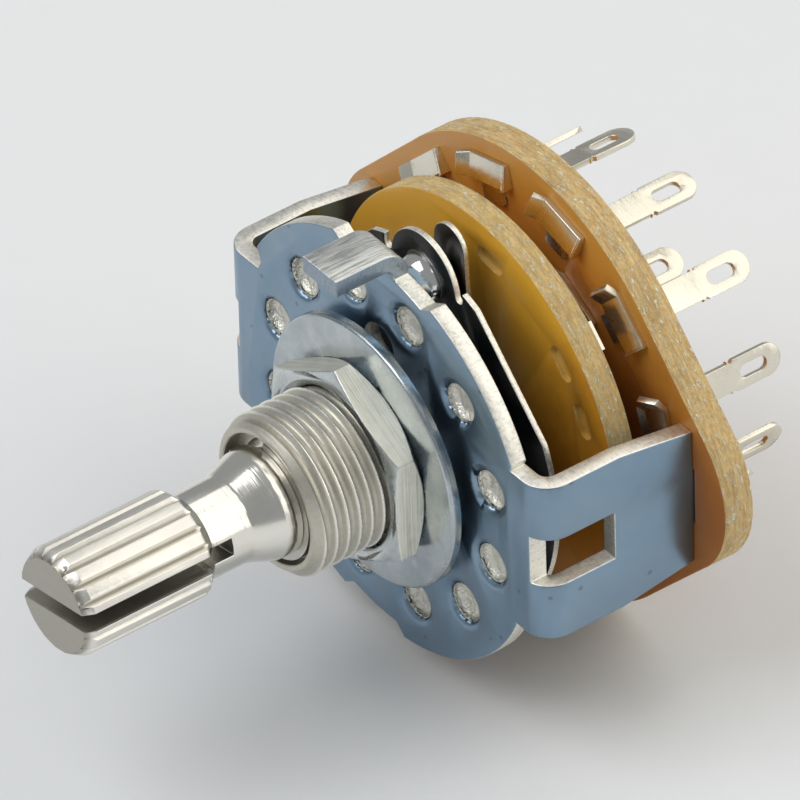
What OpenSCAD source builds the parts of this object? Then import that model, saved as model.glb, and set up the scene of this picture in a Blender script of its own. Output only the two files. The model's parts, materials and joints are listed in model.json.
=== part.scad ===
// Rotary switch: one pole, twelve positions, with a threaded bushing, a splined and
// split knob shaft, a ball detent behind the front plate, a phenolic rotor and a
// phenolic stator wafer that carries the solder terminals.
//
// Every piece is drawn with z running forward along the shaft, y up towards the
// locating lug and x towards the right-hand arm, from the front face of the front
// plate. stand() then lays the shaft level, so that it points along -Y.

/* [Shaft] */
// Diameter of the shaft where it runs in the bushing
shaft_d = 6; // [5.6:0.1:6.4]
// How far the shaft's tip stands in front of the front plate
shaft_out = 20.8; // [18:0.2:26]
// Length of the splined end, measured from the tip
spline_len = 7.8; // [6:0.2:9]
// Number of teeth on the splined end
spline_teeth = 18; // [12:1:24]
// Depth of the grooves between the teeth
spline_depth = 0.3; // [0.15:0.05:0.4]
// Width of a groove at the shaft's surface
spline_groove_w = 0.42; // [0.3:0.02:0.5]
// Chamfer on the tip, along the shaft
tip_chamfer = 0.6; // [0.3:0.1:1]
// Diameter of the turned neck behind the splines
neck_d = 4.8; // [4.2:0.1:5.2]
// Length of the neck
neck_len = 3.1; // [2.4:0.1:3.4]
// Length of the cone from the neck up to the full diameter
flare_len = 1.7; // [1:0.1:2]
// Width of the saw cut across the tip
slot_w = 1; // [0.8:0.1:1.4]
// Depth of the saw cut from the tip
slot_depth = 9.6; // [8:0.2:10.4]
// Turn of the saw cut away from the arms, in degrees
slot_turn = 9; // [0:1:180]
// Diameter of the flatted tail that carries the springs and the rotor
tail_d = 4.8; // [4.4:0.1:5.2]
// Distance between the two flats of the tail
tail_flats = 3.6; // [3.2:0.1:4]
// How much narrower the rotor's seat on the tail is than the tail
seat_step = 0.8; // [0.6:0.1:1]
// Diameter of the pilot that runs in the wafer
pilot_d = 3.2; // [2.8:0.1:3.2]

/* [Bushing] */
// Outside diameter of the threaded bushing
thread_d = 9; // [8.6:0.1:9.6]
// How far the bushing stands in front of the front plate
bushing_len = 7.4; // [6.6:0.1:9]
// Chamfer at the front of the thread
thread_chamfer = 0.5; // [0.3:0.1:0.6]
// Pitch of the thread, which the nut follows
thread_pitch = 0.75; // [0.5:0.05:1]
// Diameter of the shoulder that the washer sits on
shoulder_d = 10; // [9.8:0.1:10.2]
// Thickness of that shoulder
shoulder_t = 0.7; // [0.5:0.1:1]
// Diameter of the recess in the bushing's mouth
mouth_d = 7.3; // [7.1:0.1:7.6]
// Depth of the recess in the bushing's mouth
mouth_depth = 0.9; // [0.8:0.1:1.2]
// Diameter of the bushing where it passes through the front plate
root_d = 8; // [7.6:0.1:8.4]
// Diameter of the rim staked over behind the front plate
stake_d = 9.4; // [9:0.1:9.8]
// Thickness of the staked rim
stake_t = 0.4; // [0.3:0.05:0.5]

/* [Nut and washer] */
// Size of the hex nut across its flats
nut_af = 10.5; // [10:0.1:12]
// Thickness of the hex nut
nut_t = 1.8; // [1.4:0.1:2]
// How far the nut's corners are chamfered back at its front face
nut_front_drop = 0.25; // [0.1:0.05:0.5]
// How far the nut's corners are chamfered forward at its rear face
nut_rear_drop = 0.6; // [0.3:0.05:0.7]
// Outside diameter of the washer
washer_d = 15.2; // [14:0.2:16]
// Thickness of the washer
washer_t = 0.6; // [0.4:0.1:0.8]
// Clearance of the washer around the thread
washer_gap = 0.12; // [0.05:0.01:0.2]

/* [Front plate] */
// Thickness of the sheet steel
plate_t = 1; // [0.8:0.1:1.2]
// Width across the outer faces of the two arms
arms_w = 26.8; // [24:0.2:30]
// Distance from an arm's outer face in to the radius of the plate's four lobes
lobe_inset = 1.3; // [1.1:0.1:1.6]
// Depth of the dips in the plate's edge between the lobes
lobe_rise = 0.7; // [0.4:0.1:0.9]
// Width of an arm from its bend back to where it starts to narrow
arm_root_w = 9.8; // [9.4:0.2:10.6]
// Distance from the plate's front face back to where an arm starts to narrow
arm_taper_back = 5; // [4.6:0.2:6]
// Width of an arm where it meets the wafer
arm_end_w = 8.4; // [7.8:0.2:9]
// Outside radius of the bends
bend_r = 1.6; // [1.4:0.1:1.8]
// Width of the window across each arm's bend
window_w = 2.95; // [2.4:0.05:3.4]
// Distance from an arm's outer face in to the start of its window
window_inset = 1.2; // [1:0.1:1.4]
// How far each window runs back along its arm
window_back = 4.6; // [3.6:0.2:5.4]
// Width of the tab that holds the wafer on each arm
tab_w = 3.4; // [3:0.1:3.8]
// How far each tab stands out behind the wafer
tab_proud = 0.8; // [0.5:0.1:1.2]
// Width of the locating lug
lug_w = 2.8; // [2.4:0.1:3.2]
// Height of the locating lug's outer face above the plate's edge
lug_rise = 1.6; // [1.4:0.1:2.2]
// How far the locating lug stands in front of the plate
lug_out = 3.6; // [3:0.1:4.4]
// Diameter of the stop hole beside the bushing
stop_hole_d = 2.4; // [2:0.1:2.5]
// Height of the stop hole above the shaft's axis
stop_hole_r = 6.35; // [6.3:0.05:6.6]

/* [Detent] */
// Number of detent positions in a full turn
positions = 12; // [8:1:12]
// Distance from the plate's edge in to the ring of detent pockets
detent_inset = 2.2; // [2:0.1:2.4]
// Diameter of a pocket at its mouth
pocket_d = 2.4; // [2:0.1:2.6]
// Depth of a pocket
pocket_depth = 0.7; // [0.5:0.05:0.8]
// Height of the bump that each pocket raises behind the plate
bump_h = 0.45; // [0.3:0.05:0.5]
// Diameter of the two detent balls
ball_d = 3; // [2.8:0.1:3.2]
// Gap between a ball and the tops of the bumps
ball_gap = 0.1; // [0.08:0.01:0.15]
// Thickness of the leaf that carries the balls
carrier_t = 0.35; // [0.3:0.05:0.4]
// Radius of the lobes around the balls
carrier_lobe_r = 2.7; // [2.4:0.05:2.9]
// Distance from the plate's edge in to the carrier's sides
carrier_inset = 0.8; // [0.6:0.1:1.2]
// How far the carrier's slanting edges cut into its round
carrier_cut = 0.7; // [0.5:0.05:1]
// Thickness of the leaf spring behind the balls
spring_t = 0.3; // [0.2:0.05:0.35]
// Width of the leaf spring at its tips
spring_tip_w = 2.5; // [2.3:0.1:3]
// Width that the leaf spring gains from its tips to its middle
spring_flare = 1.2; // [1:0.1:2.4]

/* [Rotor] */
// Gap between the rotor disc's edge and the arms
rotor_gap = 0.9; // [0.6:0.1:1.2]
// Thickness of the rotor disc
rotor_t = 1.5; // [1.3:0.1:1.6]
// Distance from the plate's front face back to the rotor disc
rotor_back = 6.1; // [6:0.1:6.2]
// Thickness of the rotor's contact ring
contact_ring_t = 0.25; // [0.2:0.05:0.3]

/* [Stator] */
// Width of the wafer's rim outside the contacts
wafer_rim = 0.9; // [0.8:0.1:1.4]
// Thickness of the stator wafer
wafer_t = 1.8; // [1.4:0.1:2]
// Distance from the plate's front face back to the wafer
wafer_back = 9.6; // [9.4:0.1:10.4]
// How far the wafer's ears stand out beyond the arms
ear_reach = 2.6; // [2.2:0.1:3.4]
// Radius of the ears' round ends
ear_r = 5.8; // [5:0.1:6.2]

/* [Terminals] */
// Distance from the contacts' outer edge in to the terminals
terminal_inset = 2.4; // [2.2:0.1:2.6]
// Thickness of the terminals' sheet metal
terminal_t = 0.3; // [0.25:0.05:0.35]
// Width of a terminal's blade
blade_w = 1.8; // [1.6:0.1:2]
// How much the blade narrows where it passes through the wafer
blade_neck = 0.2; // [0.1:0.05:0.4]
// Distance from the plate's front face back to the terminals' tips
tips_back = 18.2; // [17.6:0.2:20]
// Length of the wire hole in a blade
eye_len = 1.7; // [1.5:0.1:2.1]
// Width of the wire hole in a blade
eye_w = 0.75; // [0.6:0.05:0.85]
// Distance from a blade's tip to its wire hole
eye_land = 0.9; // [0.6:0.1:1.1]
// Distance from a blade's tip to the nicks in its edges
nick_from_tip = 3.3; // [3:0.1:4]
// Height of a contact's face above the wafer
contact_h = 0.66; // [0.62:0.02:0.7]
// Length of a contact's flat face along the ring
contact_w = 3; // [2.6:0.1:3.2]
// Depth of a contact's face, from its outer edge towards the shaft
contact_depth = 1.4; // [1.2:0.1:1.6]
// Gap between the contacts' outer edges and the arms
contact_gap = 0.2; // [0.2:0.05:0.4]
// How much shorter the common terminal is than the others
common_short = 1.4; // [1:0.2:2]
// Angle of the common terminal around the wafer, in degrees
common_angle = 60; // [55:1:65]

/* [Hidden] */
// Fits, and the small amount by which cutters pass a face.
run_gap = 0.05;
end_float = 0.1;
slide_gap = 0.04;
slot_gap = 0.05;
thread_gap = 0.02;
eps = 0.01;
past = 1;

pitch = 360 / positions;
blank_turn = pitch / 2;

// The ring sizes, all taken inward from the arms.
arm_x = arms_w / 2;
lobe_r = arm_x - lobe_inset;
valley_r = lobe_r - lobe_rise;
plate_overlap = 1.5;
window_from = arm_x - window_inset;
lug_top = valley_r + lug_rise;
detent_r = valley_r - detent_inset;
carrier_r = valley_r - carrier_inset;
carrier_flat = carrier_r - carrier_cut;
contact_outer_r = arm_x - plate_t - contact_gap;
contact_inner_r = contact_outer_r - contact_depth;
terminal_r = contact_outer_r - terminal_inset;
rotor_r = arm_x - plate_t - rotor_gap;
wafer_r = contact_outer_r + wafer_rim;
ear_x = arm_x + ear_reach - ear_r;

front_washer = shoulder_t;
front_nut = front_washer + washer_t;
nut_front = front_nut + nut_t;
stake_back = plate_t + stake_t;
collar_front = stake_back + end_float;
ball_r = ball_d / 2;
ball_back = plate_t + bump_h + ball_gap + ball_r;
carrier_sink = 0.15;
carrier_back = ball_back - carrier_sink;
carrier_rear = carrier_back + carrier_t;
spring_back = ball_back + ball_r;
spring_rear = carrier_rear + spring_t;
rotor_rear = rotor_back + rotor_t;
ring_rear = rotor_rear + contact_ring_t;
clip_t = 0.4;
clip_rear = ring_rear + clip_t;
wafer_rear = wafer_back + wafer_t;
ring_sink = 0.15;
groove_front = bushing_len - ring_sink;
ring_t = mouth_depth - ring_sink - end_float;
groove_r = shaft_d / 2 - 0.45;
ring_gap = [95, 160];
engaged_r = thread_d / 2 - 0.325 * thread_pitch;
thread_entry = 0.5;
tip_r = shaft_d / 2 - tip_chamfer * 0.6;
seat_d = tail_d - seat_step;
seat_flats = tail_flats - seat_step * 0.75;
pilot_proud = 0.4;
clip_groove_r = pilot_d / 2 - 0.35;
clip_r = pilot_d / 2 + 1.3;
clip_gap = [250, 290];

// The two stops: a lug behind the bushing and a nose on the shaft's collar. Between them
// they take up one pitch less two degrees, so that the shaft turns eleven steps.
stop_angle = 90;
stop_half = 7;
nose_half = pitch / 2 - 1 - stop_half;
nose_angle = stop_angle + 180 - blank_turn;
collar_w = 0.4;
stop_side_gap = 0.15;
stop_end_gap = 0.3;
collar_r = shaft_d / 2 + collar_w;
stop_inner_r = collar_r + stop_side_gap;
stop_outer_r = stake_d / 2;
collar_rear = carrier_back;
stop_rear = collar_rear - stop_end_gap;

// The plate's four lobes, each as its middle and half its width in degrees, and half the
// angle over which their ends slope down to the dips.
lobes = [[47, 22], [128, 21], [-128, 21], [-54, 30]];
lobe_ramp = 3;
bump_draft = 0.15;
pocket_draft = 0.3;
notch_r = 0.3;
notch_rise = 0.45;
spring_hub_w = 1.8;
spring_hub_r = tail_d / 2 + spring_hub_w;
spring_pad = 2.4;
spring_bend_y = detent_r - spring_pad;
spacer_w = 1;

// The rotor's contact ring, its wiper and the feet that hold it in the disc.
wiper_angle = 45;
wiper_w = 1.6;
wiper_inset = 0.2;
wiper_r = rotor_r - wiper_inset;
ring_feet = [82, 42, 23];
foot_inset = 1.9;
foot_r = rotor_r - foot_inset;
foot_len = 2;
foot_w = 0.9;
foot_depth = 0.3;
foot_strip_w = 1;
foot_strip_len = 1.4;
contact_ring_w = 2.8;
ring_outer_r = foot_r - foot_strip_len;
ring_inner_r = ring_outer_r - contact_ring_w;
ring_lap = 0.5;

// The common terminal's blade and face, both over the contact ring.
common_inset = 1;
common_strap = 0.5;
common_depth = 1.5;
common_r = ring_inner_r + common_inset;
common_face = [common_r + common_strap, common_r + common_strap + common_depth];

// A contact's flared lip, and the small steps where it leaves the face.
lip_run = 0.6;
lip_rise = 0.45;
lip_step = 0.1;
nick = 0.22;

$fn = 96;

function terminal_name(i) = str("terminal_", i < 10 ? "0" : "", i);
function terminal_angle(i) = 90 + blank_turn - i * pitch;

// Lays the shaft level: z becomes -Y and y becomes +Z.
module stand() {
    rotate([90, 0, 0]) children();
}

// A round bar or disc from one depth behind the plate to another.
module disc(r, front, rear) {
    translate([0, 0, -rear]) cylinder(r = r, h = rear - front);
}

// A circle cut by two flats, as on the shaft's tail.
module double_d(d, flats) {
    intersection() {
        circle(d = d);
        square([d + past, flats], center = true);
    }
}

// A slice of a circle between two angles.
module sector(r, from, to) {
    steps = ceil((to - from) / 30);
    reach = r * 1.2;
    polygon(concat(
        [[0, 0]],
        [for (k = [0:steps]) let (a = from + (to - from) * k / steps) reach * [cos(a), sin(a)]]
    ));
}

// A slot with round ends, its length along y.
module stadium(len, w) {
    square([w, len - w], center = true);
    for (side = [-1, 1])
        translate([0, side * (len - w) / 2]) circle(d = w);
}

// Half of a sheet that runs out along x at y = -plate_t to 0 and turns down at reach.
module bent_strip(from, reach, drop) {
    translate([from, -plate_t]) square([reach - bend_r - from, plate_t]);
    translate([reach - plate_t, -drop]) square([plate_t, drop - bend_r]);
    translate([reach - bend_r, -bend_r]) intersection() {
        difference() {
            circle(r = bend_r);
            circle(r = bend_r - plate_t);
        }
        square(bend_r);
    }
}

// The shaft's turned profile in front of its collar, as radius against distance.
function shaft_profile() = let (
    r = shaft_d / 2,
    rear = -collar_front,
    spline_end = shaft_out - spline_len,
    neck_front = spline_end - (r - neck_d / 2),
    neck_rear = spline_end - neck_len,
    flare_rear = neck_rear - flare_len
) [
    [0, rear - eps], [r, rear - eps],
    [r, groove_front - ring_t - eps], [groove_r, groove_front - ring_t - eps],
    [groove_r, groove_front + eps], [r, groove_front + eps],
    [r, flare_rear], [neck_d / 2, neck_rear],
    [neck_d / 2, neck_front], [r, spline_end],
    [r, shaft_out - tip_chamfer], [tip_r, shaft_out], [0, shaft_out]
];

module spline_groove() {
    r = shaft_d / 2;
    polygon([
        [r - spline_depth, 0],
        [r + spline_depth, -spline_groove_w],
        [r + spline_depth, spline_groove_w]
    ]);
}

module shaft() {
    spline_end = shaft_out - spline_len;
    color([0.80, 0.79, 0.76]) stand() {
        difference() {
            rotate_extrude() polygon(shaft_profile());
            for (k = [0:spline_teeth - 1])
                rotate((k + 0.5) * 360 / spline_teeth)
                    translate([0, 0, spline_end - shaft_d / 2])
                        linear_extrude(spline_len + shaft_d) spline_groove();
            rotate(slot_turn)
                translate([-shaft_d, -slot_w / 2, shaft_out - slot_depth])
                    cube([2 * shaft_d, slot_w, slot_depth + past]);
        }
        disc(collar_r, collar_front, collar_rear);
        translate([0, 0, -collar_rear]) linear_extrude(collar_rear - collar_front)
            intersection() {
                circle(r = stop_outer_r);
                sector(stop_outer_r, nose_angle - nose_half, nose_angle + nose_half);
            }
        translate([0, 0, -rotor_back]) linear_extrude(rotor_back - collar_rear)
            double_d(tail_d, tail_flats);
        translate([0, 0, -ring_rear]) linear_extrude(ring_rear - rotor_back)
            double_d(seat_d, seat_flats);
        difference() {
            disc(pilot_d / 2, ring_rear, wafer_rear + pilot_proud);
            difference() {
                disc(pilot_d, ring_rear - eps, clip_rear + eps);
                disc(clip_groove_r, ring_rear - past, clip_rear + past);
            }
        }
    }
}

// An open ring that snaps into a groove. Its gap is given as two angles.
module snap_ring(inner_r, outer_r, front, rear, gap) {
    translate([0, 0, -rear]) linear_extrude(rear - front) difference() {
        circle(r = outer_r);
        circle(r = inner_r);
        sector(outer_r, gap[0], gap[1]);
    }
}

module retaining_ring() {
    color([0.66, 0.64, 0.58]) stand()
        snap_ring(groove_r + slide_gap, mouth_d / 2 - 0.25,
            -groove_front, ring_t - groove_front, ring_gap);
}

// The thread is drawn as a plain cylinder over its crests. Inside the nut it is drawn at
// its pitch radius, and so is the nut's own bore.
module bushing() {
    r = thread_d / 2;
    color([0.62, 0.60, 0.55]) stand() {
        difference() {
            rotate_extrude() polygon([
                [0, -stake_back], [stake_d / 2, -stake_back], [stake_d / 2, -plate_t],
                [root_d / 2, -plate_t], [root_d / 2, 0], [shoulder_d / 2, 0],
                [shoulder_d / 2, shoulder_t], [r, shoulder_t],
                [r, front_nut], [engaged_r, front_nut], [engaged_r, nut_front], [r, nut_front],
                [r, bushing_len - thread_chamfer],
                [r - thread_chamfer, bushing_len], [0, bushing_len]
            ]);
            disc(shaft_d / 2 + run_gap, -bushing_len - past, stake_back + past);
            disc(mouth_d / 2, -bushing_len - past, mouth_depth - bushing_len);
        }
        translate([0, 0, -stop_rear]) linear_extrude(stop_rear - stake_back + eps)
            intersection() {
                difference() {
                    circle(r = stop_outer_r);
                    circle(r = stop_inner_r);
                }
                sector(stop_outer_r, stop_angle - stop_half, stop_angle + stop_half);
            }
    }
}

module hex_nut() {
    corner_r = nut_af / sqrt(3) + eps;
    face_r = nut_af / 2 - eps;
    color([0.78, 0.76, 0.70]) stand() translate([0, 0, front_nut]) difference() {
        intersection() {
            rotate(30) cylinder(r = corner_r - eps, h = nut_t, $fn = 6);
            rotate_extrude() polygon([
                [0, 0], [face_r, 0], [corner_r, nut_rear_drop],
                [corner_r, nut_t - nut_front_drop], [face_r, nut_t], [0, nut_t]
            ]);
        }
        translate([0, 0, -past]) cylinder(r = engaged_r + thread_gap, h = nut_t + 2 * past);
        for (end = [0, 1])
            translate([0, 0, end * nut_t]) mirror([0, 0, end]) translate([0, 0, -eps])
                cylinder(r1 = engaged_r + thread_entry, r2 = engaged_r, h = thread_entry);
    }
}

module washer() {
    edge = 0.12;
    inner_r = thread_d / 2 + washer_gap;
    outer_r = washer_d / 2;
    color([0.74, 0.73, 0.70]) stand() translate([0, 0, front_washer]) rotate_extrude()
        polygon([
            [inner_r, 0], [outer_r, 0], [outer_r, washer_t - edge],
            [outer_r - edge, washer_t], [inner_r, washer_t]
        ]);
}

// A wedge whose two sides slope in through a lobe's ends, from the dips outward.
module lobe_wedge(half) {
    foot = valley_r - end_float;
    top = lobe_r + lobe_rise;
    foot_a = half + lobe_ramp;
    top_a = half - lobe_ramp;
    polygon([
        [0, 0], foot * [cos(foot_a), -sin(foot_a)], top * [cos(top_a), -sin(top_a)],
        [2 * top, 0], top * [cos(top_a), sin(top_a)], foot * [cos(foot_a), sin(foot_a)]
    ]);
}

// The plate's outline without its arms and its lug: a disc with four lobes.
module plate_outline() {
    circle(r = valley_r);
    for (lobe = lobes) intersection() {
        circle(r = lobe_r);
        rotate(lobe[0]) lobe_wedge(lobe[1]);
    }
}

// One arm with its bend, window and wafer tab, on the right-hand side.
module arm() {
    root = arm_root_w / 2;
    end = arm_end_w / 2;
    start = valley_r - plate_overlap;
    difference() {
        intersection() {
            rotate([90, 0, 0]) linear_extrude(arm_root_w, center = true)
                bent_strip(start, arm_x, wafer_back);
            rotate([90, 0, 90]) linear_extrude(arms_w) polygon([
                [-root, past], [root, past], [root, -arm_taper_back],
                [end, -wafer_back], [-end, -wafer_back], [-root, -arm_taper_back]
            ]);
        }
        translate([window_from, -window_w / 2, -window_back])
            cube([arms_w, window_w, window_back + past]);
    }
    translate([arm_x - plate_t, -tab_w / 2, -wafer_rear - tab_proud])
        cube([plate_t, tab_w, wafer_t + tab_proud + eps]);
}

module lug() {
    rise = valley_r - plate_overlap;
    rotate([90, 0, 90]) linear_extrude(lug_w, center = true)
        translate([0, -plate_t]) mirror([0, 1]) bent_strip(rise, lug_top, lug_out + plate_t);
}

module front_plate() {
    color([0.62, 0.64, 0.66]) stand() {
        difference() {
            union() {
                translate([0, 0, -plate_t]) linear_extrude(plate_t) plate_outline();
                for (side = [0, 1]) mirror([side, 0, 0]) arm();
                lug();
                for (k = [0:positions - 1]) rotate(blank_turn + k * pitch)
                    translate([detent_r, 0, -plate_t - bump_h])
                        cylinder(r1 = pocket_d / 2 - bump_draft, r2 = pocket_d / 2 + bump_draft,
                            h = bump_h + eps);
            }
            for (k = [0:positions - 1]) rotate(blank_turn + k * pitch)
                translate([detent_r, 0, -pocket_depth])
                    cylinder(r1 = pocket_d / 2 - pocket_draft, r2 = pocket_d / 2,
                        h = pocket_depth + eps);
            disc(root_d / 2 + slot_gap, -past, plate_t + past);
            translate([0, stop_hole_r, 0]) disc(stop_hole_d / 2, -past, plate_t + past);
        }
    }
}

module ball(up) {
    color([0.86, 0.86, 0.87]) stand()
        translate([0, up * detent_r, -ball_back]) sphere(r = ball_r);
}

module ball_upper() {
    ball(1);
}

module ball_lower() {
    ball(-1);
}

module carrier_outline() {
    notch_x = carrier_lobe_r + notch_r * 0.8;
    notch_y = detent_r + notch_rise;
    notch_from = carrier_lobe_r / 2;
    difference() {
        intersection() {
            circle(r = carrier_r);
            rotate(45) square(2 * carrier_flat, center = true);
        }
        for (x = [0, 1], y = [0, 1]) mirror([x, 0]) mirror([0, y]) {
            translate([notch_x, notch_y]) circle(r = notch_r);
            translate([notch_from, notch_y]) square([notch_x + notch_r - notch_from, ball_d]);
        }
    }
    for (y = [-1, 1]) translate([0, y * detent_r]) circle(r = carrier_lobe_r);
}

module ball_carrier() {
    color([0.20, 0.21, 0.23]) stand() translate([0, 0, -carrier_rear])
        linear_extrude(carrier_t) difference() {
            carrier_outline();
            double_d(tail_d + 2 * slide_gap, tail_flats + 2 * slide_gap);
            for (y = [-1, 1]) translate([0, y * detent_r]) circle(r = ball_r + slide_gap);
        }
}

// The spring's side view: flat at the hub, then sloping back to bear behind the balls.
module spring_side() {
    hub = spring_hub_r;
    bend = spring_bend_y;
    reach = detent_r + spring_tip_w;
    drop = spring_back - carrier_rear;
    polygon([
        [-reach, -drop - spring_t], [-bend, -drop - spring_t], [-hub, -spring_t],
        [hub, -spring_t], [bend, -drop - spring_t], [reach, -drop - spring_t],
        [reach, -drop], [bend, -drop], [hub, 0], [-hub, 0], [-bend, -drop], [-reach, -drop]
    ]);
}

module spring_outline() {
    tip = spring_tip_w / 2;
    mid = tip + spring_flare / 2;
    reach = detent_r + tip;
    circle(r = spring_hub_r);
    polygon([
        [-tip, -reach], [tip, -reach], [mid, 0], [tip, reach], [-tip, reach], [-mid, 0]
    ]);
    for (y = [-1, 1]) translate([0, y * reach]) circle(r = tip);
}

module detent_spring() {
    color([0.16, 0.17, 0.19]) stand() difference() {
        intersection() {
            translate([0, 0, -carrier_rear]) rotate([90, 0, 90])
                linear_extrude(2 * detent_r, center = true) spring_side();
            translate([0, 0, -rotor_back]) linear_extrude(rotor_back) spring_outline();
        }
        translate([0, 0, -rotor_back]) linear_extrude(rotor_back)
            double_d(tail_d + 2 * slide_gap, tail_flats + 2 * slide_gap);
    }
}

module rotor_spacer() {
    color([0.70, 0.66, 0.55]) stand() translate([0, 0, -rotor_back])
        linear_extrude(rotor_back - spring_rear) difference() {
            circle(r = tail_d / 2 + spacer_w);
            circle(r = tail_d / 2 + slide_gap);
        }
}

module rotor_disc() {
    color([0.78, 0.56, 0.20]) stand() translate([0, 0, -rotor_rear]) difference() {
        linear_extrude(rotor_t) difference() {
            circle(r = rotor_r);
            double_d(seat_d + 2 * slide_gap, seat_flats + 2 * slide_gap);
        }
        for (a = ring_feet) rotate(a) translate([foot_r, 0, rotor_t - foot_depth])
            linear_extrude(foot_depth + past) stadium(foot_len, foot_w);
    }
}

module rotor_contact() {
    color([0.80, 0.68, 0.42]) stand() translate([0, 0, -ring_rear])
        linear_extrude(contact_ring_t) {
            difference() {
                circle(r = ring_outer_r);
                circle(r = ring_inner_r);
            }
            rotate(wiper_angle) translate([ring_outer_r - ring_lap, -wiper_w / 2])
                square([wiper_r - ring_outer_r + ring_lap, wiper_w]);
            for (a = ring_feet) rotate(a) translate([ring_outer_r - ring_lap, -foot_strip_w / 2])
                square([foot_r + foot_w / 2 - ring_outer_r + ring_lap, foot_strip_w]);
        }
}

module shaft_clip() {
    color([0.60, 0.60, 0.58]) stand()
        snap_ring(clip_groove_r + slide_gap, clip_r, ring_rear, clip_rear, clip_gap);
}

// The wafer's outline: a disc and two round-ended ears, joined by straight edges that
// lie a hair inside their common tangents.
module wafer_outline() {
    turn = acos((wafer_r - ear_r) / ear_x);
    ear_edge = (ear_r - eps) * [cos(turn), sin(turn)];
    disc_edge = (wafer_r - eps) * [cos(turn), sin(turn)];
    circle(r = wafer_r);
    for (x = [0, 1]) mirror([x, 0]) {
        translate([ear_x, 0]) circle(r = ear_r);
        polygon([
            [0, -wafer_r / 2], [disc_edge[0], -disc_edge[1]], [ear_x + ear_edge[0], -ear_edge[1]],
            [ear_x + ear_edge[0], ear_edge[1]], disc_edge, [0, wafer_r / 2]
        ]);
    }
}

// The slot that a terminal's blade passes through.
module blade_slot(r) {
    translate([r, 0])
        square([terminal_t + 2 * slot_gap, blade_w - blade_neck + 2 * slot_gap], center = true);
}

module stator_wafer() {
    color([0.66, 0.42, 0.16]) stand() translate([0, 0, -wafer_rear])
        linear_extrude(wafer_t) difference() {
            wafer_outline();
            circle(r = pilot_d / 2 + run_gap);
            for (i = [1:positions]) rotate(terminal_angle(i)) blade_slot(terminal_r);
            rotate(common_angle) blade_slot(common_r);
            for (side = [-1, 1]) translate([side * (arm_x - plate_t / 2), 0])
                square([plate_t + 2 * slot_gap, tab_w + 2 * slot_gap], center = true);
        }
}

// A solder blade in its own plane: x across, y towards the tip. It is full width beyond
// the nicks and narrower between them and the wafer.
module blade_outline(len) {
    tip = blade_w / 2;
    neck = tip - blade_neck / 2;
    nick_at = len - nick_from_tip;
    difference() {
        union() {
            translate([-neck, 0]) square([2 * neck, nick_at + nick]);
            translate([-tip, nick_at]) square([blade_w, nick_from_tip - tip]);
            translate([0, len - tip]) circle(r = tip);
        }
        translate([0, len - eye_land - eye_len / 2]) stadium(eye_len, eye_w);
        for (side = [-1, 1]) translate([side * tip, nick_at + nick]) rotate(45)
            square(nick, center = true);
    }
}

// The springy face of a contact: it rises from the wafer at its outer edge to contact_h
// at its inner edge, with a wall down one end and a flared lip at the other. Nothing of
// it stands out past its outer edge.
module contact_face(inner, outer) {
    half = contact_w / 2;
    run = outer - inner;
    tilt = asin((contact_h - terminal_t) / run);
    lip_x = half + lip_run;
    difference() {
        translate([outer, 0, 0]) rotate([0, tilt, 0]) translate([-run, 0, 0])
            rotate([90, 0, 90]) linear_extrude(run) polygon([
                [-half, 0], [half - lip_step, 0], [lip_x, lip_rise],
                [lip_x - 2 * lip_step, lip_rise + terminal_t], [half - 2 * lip_step, terminal_t],
                [-half, terminal_t]
            ]);
        translate([outer, -contact_w, -past]) cube([run, 2 * contact_w, 2 * past + lip_rise]);
    }
    translate([0, -half + terminal_t / 2, 0]) rotate([90, 0, 0]) linear_extrude(terminal_t)
        polygon([[inner, 0], [outer, 0], [outer, terminal_t], [inner, contact_h]]);
}

// A contact and its solder blade, folded from one strip. The blade rises through the
// wafer at radius r, lies outward on the wafer and carries the contact's face.
module contact_strip(r, inner, outer, tip_back) {
    strap = terminal_t;
    width = blade_w - blade_neck;
    translate([r, 0, 0]) rotate([-90, 0, 90]) translate([0, 0, -strap / 2])
        linear_extrude(strap) translate([0, -strap]) blade_outline(tip_back - wafer_back + strap);
    translate([r - strap / 2, -width / 2, 0]) cube([outer - r, width, strap]);
    contact_face(inner, outer);
}

module terminal(i) {
    color([0.80, 0.76, 0.64]) stand() rotate(terminal_angle(i)) translate([0, 0, -wafer_back])
        contact_strip(terminal_r, contact_inner_r, contact_outer_r, tips_back);
}

module common_terminal() {
    color([0.80, 0.76, 0.64]) stand() rotate(common_angle) translate([0, 0, -wafer_back])
        contact_strip(common_r, common_face[0], common_face[1], tips_back - common_short);
}

shaft();
retaining_ring();
bushing();
hex_nut();
washer();
front_plate();
ball_upper();
ball_lower();
ball_carrier();
detent_spring();
rotor_spacer();
rotor_disc();
rotor_contact();
shaft_clip();
stator_wafer();
common_terminal();
for (i = [1:positions])
    terminal(i);
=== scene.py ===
# %% [markdown]
# # A twelve-position rotary switch
#
# A small panel switch with one pole. A threaded bushing and a splined shaft stand in
# front of a pressed plate. Two steel balls click between the bumps that the plate's
# pockets raise on its back, and behind them a phenolic rotor turns in front of a
# phenolic wafer full of contacts.
#
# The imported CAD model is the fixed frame. Its pieces are cut dead sharp, and nothing
# that is stamped, turned or punched is. So most pieces below start as a copy of the
# CAD piece and get the broken edges of the real one, and the thread, which the CAD
# leaves plain, is wound here as a real helix. Four small pieces keep the CAD's mesh.

# %% The fixed frame
import json
import math

import bmesh
import bpy
from mathutils import Matrix, Vector

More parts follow.
